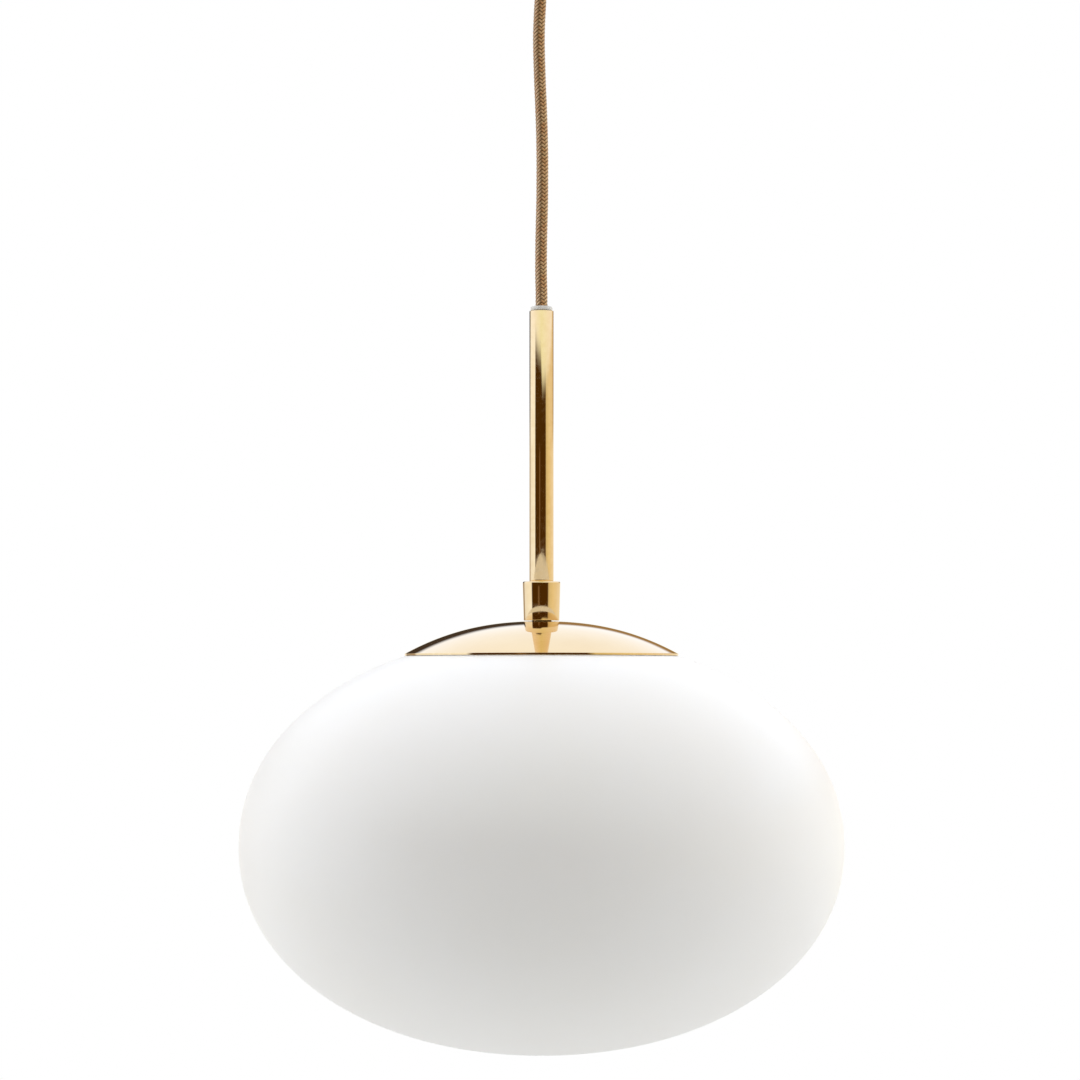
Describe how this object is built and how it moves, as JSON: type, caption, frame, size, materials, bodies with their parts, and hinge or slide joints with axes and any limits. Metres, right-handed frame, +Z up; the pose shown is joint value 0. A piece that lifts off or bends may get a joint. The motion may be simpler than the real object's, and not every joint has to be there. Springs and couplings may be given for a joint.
{
  "type": "pendant ceiling light",
  "caption": "Pendant ceiling light: a wide opal glass globe under a shallow brass dome cap, on a slim brass stem and a textile cord from a ceiling cup, with a screw-in lamp inside.",
  "frame": {"origin": "middle of the face of the ceiling plate that lies against the ceiling, on the light's vertical axis", "axes": "+Z up into the ceiling; the light hangs along -Z; X runs through the two screw slots of the ceiling plate, with +Y towards its supply cable hole"},
  "size_m": [0.3, 0.3, 0.5863],
  "materials": {
    "polished_brass": "polished and lacquered, mirror bright",
    "plain_brass": "turned, satin",
    "steel": "zinc plated",
    "nickel": "nickel plated",
    "opal_glass": "blown opal glass, satin etched outside",
    "gold_textile": "braided golden brown textile",
    "white_plastic": "moulded, satin",
    "black_plastic": "moulded thermoset, gloss",
    "seal": "translucent silicone",
    "bulb_diffuser": "milky diffuser",
    "board": "white faced aluminium board",
    "brown_wire": "extruded insulation",
    "blue_wire": "extruded insulation",
    "green_wire": "extruded green and yellow insulation"
  },
  "bodies": {
    "ceiling": {"ceiling_plate": "steel", "gland_bridge": "steel", "bridge_rivet_left": "steel", "bridge_rivet_right": "steel", "gland_tube": "polished_brass", "gland_lock_nut": "plain_brass", "cord_collet": "white_plastic", "cord_clamp_screw": "white_plastic", "cord_in_gland": "gold_textile", "terminal_block": "white_plastic", "terminal_screw_1": "steel", "terminal_screw_2": "steel", "terminal_screw_3": "steel", "terminal_screw_4": "steel", "block_fixing_screw": "steel", "earth_screw": "plain_brass", "live_wire": "brown_wire", "neutral_wire": "blue_wire", "earth_wire": "green_wire"},
    "cup": {"ceiling_cup": "polished_brass"},
    "ring_nut": {"ring_nut": "polished_brass"},
    "cord_top": {"cord_bend": "gold_textile"},
    "cord": {"hanging_cord": "gold_textile"},
    "lamp": {"stem_bush": "white_plastic", "stem_tube": "polished_brass", "stem_coupler": "polished_brass", "cord_in_stem": "gold_textile", "stem_nipple": "plain_brass", "dome_cap": "polished_brass", "cap_spacer": "steel", "glass_carrier": "steel", "carrier_nut": "steel", "spring_arm_1": "steel", "spring_arm_2": "steel", "spring_arm_3": "steel", "arm_rivet_1": "steel", "arm_rivet_2": "steel", "arm_rivet_3": "steel", "glass_gasket": "seal", "holder_cap": "black_plastic", "holder_grub_screw": "steel", "holder_shell": "black_plastic", "holder_insert": "white_plastic", "live_terminal": "plain_brass", "neutral_terminal": "plain_brass", "holder_screw_shell": "plain_brass", "holder_centre_contact": "plain_brass", "holder_live_wire": "brown_wire", "holder_neutral_wire": "blue_wire"},
    "glass": {"opal_glass": "opal_glass"},
    "bulb_slide": {"bulb_tip_contact": "plain_brass"},
    "bulb": {"bulb_tip_insulator": "black_plastic", "bulb_screw_base": "nickel", "bulb_housing": "white_plastic", "bulb_led_board": "board", "bulb_envelope": "bulb_diffuser"}
  },
  "joints": [
    {"name": "swing_front", "type": "hinge", "parent": "ceiling", "child": "cord_top", "pos_m": [0, 0, -0.042], "axis": [1, 0, 0], "range_deg": [-6, 6]},
    {"name": "swing_side", "type": "hinge", "parent": "cord_top", "child": "cord", "pos_m": [0, 0, -0.042], "axis": [0, 1, 0], "range_deg": [-6, 6]},
    {"name": "cord_twist", "type": "hinge", "parent": "cord", "child": "lamp", "pos_m": [0, 0, -0.215], "axis": [0, 0, 1], "range_deg": [-180, 180]},
    {"name": "cup_drop", "type": "slide", "parent": "ceiling", "child": "cup", "axis": [0, 0, -1], "range_m": [0, 0.045]},
    {"name": "ring_nut_turn", "type": "hinge", "parent": "cup", "child": "ring_nut", "pos_m": [0, 0, -0.031], "axis": [0, 0, -1], "continuous": true},
    {"name": "glass_off", "type": "slide", "parent": "lamp", "child": "glass", "axis": [0, 0, -1], "range_m": [0, 0.15], "deforming": ["spring_arm_1", "spring_arm_2", "spring_arm_3"]},
    {"name": "bulb_travel", "type": "slide", "parent": "lamp", "child": "bulb_slide", "axis": [0, 0, -1], "range_m": [0, 0.0152]},
    {"name": "bulb_turn", "type": "hinge", "parent": "bulb_slide", "child": "bulb", "pos_m": [0, 0, -0.42], "axis": [0, 0, -1], "range_deg": [0, 1440]}
  ],
  "couplings": [
    {"joint": "bulb_travel", "follows": "bulb_turn", "m_per_rad": 0.00057757}
  ]
}
